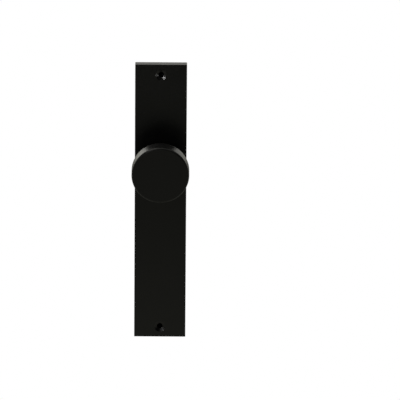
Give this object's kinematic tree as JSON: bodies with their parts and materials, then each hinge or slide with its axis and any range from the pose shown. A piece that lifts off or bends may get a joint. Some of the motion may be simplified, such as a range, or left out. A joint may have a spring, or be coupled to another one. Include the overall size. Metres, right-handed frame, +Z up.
{
  "type": "door knob on long plate",
  "caption": "Flat disc door knob on a long narrow rectangular backplate with countersunk fixing holes, spring return and a square spindle behind.",
  "frame": {"origin": "where the spindle's axis meets the door face, on the back of the plate", "axes": "+X to the right seen from the room, +Y into the door along the spindle, +Z up along the plate"},
  "size_m": [0.05, 0.11, 0.25],
  "materials": {
    "satin_black_coating": "satin powder coat over die-cast zinc and turned metal",
    "acetal": "moulded, natural white",
    "glass_filled_nylon": "moulded, black",
    "spring_steel": "oil-tempered and phosphated",
    "zinc_plated_steel": "bright zinc plated",
    "black_oxide_steel": "black oxide",
    "ground_steel": "hardened and ground"
  },
  "bodies": {
    "plate": {"face_plate": "satin_black_coating", "bearing_bush": "acetal", "spring_carrier": "glass_filled_nylon", "return_spring_right": "spring_steel", "return_spring_left": "spring_steel", "cover_plate": "zinc_plated_steel", "cover_screw_top_left": "zinc_plated_steel", "cover_screw_top_right": "zinc_plated_steel", "cover_screw_bottom_left": "zinc_plated_steel", "cover_screw_bottom_right": "zinc_plated_steel", "thrust_washer": "zinc_plated_steel"},
    "knob": {"knob_disc": "satin_black_coating", "knob_neck": "satin_black_coating", "joining_stud": "black_oxide_steel", "anti_turn_pin": "ground_steel", "grub_screw": "black_oxide_steel", "square_spindle": "zinc_plated_steel", "driver_plate": "zinc_plated_steel", "wave_washer": "spring_steel", "retaining_ring": "spring_steel"}
  },
  "joints": [
    {"name": "knob_turn", "type": "hinge", "parent": "plate", "child": "knob", "pos_m": [0, 0, 0], "axis": [0, 1, 0], "range_deg": [-45, 45], "stiffness_Nm_per_rad": 0.6, "deforming": ["return_spring_right", "return_spring_left"]}
  ]
}
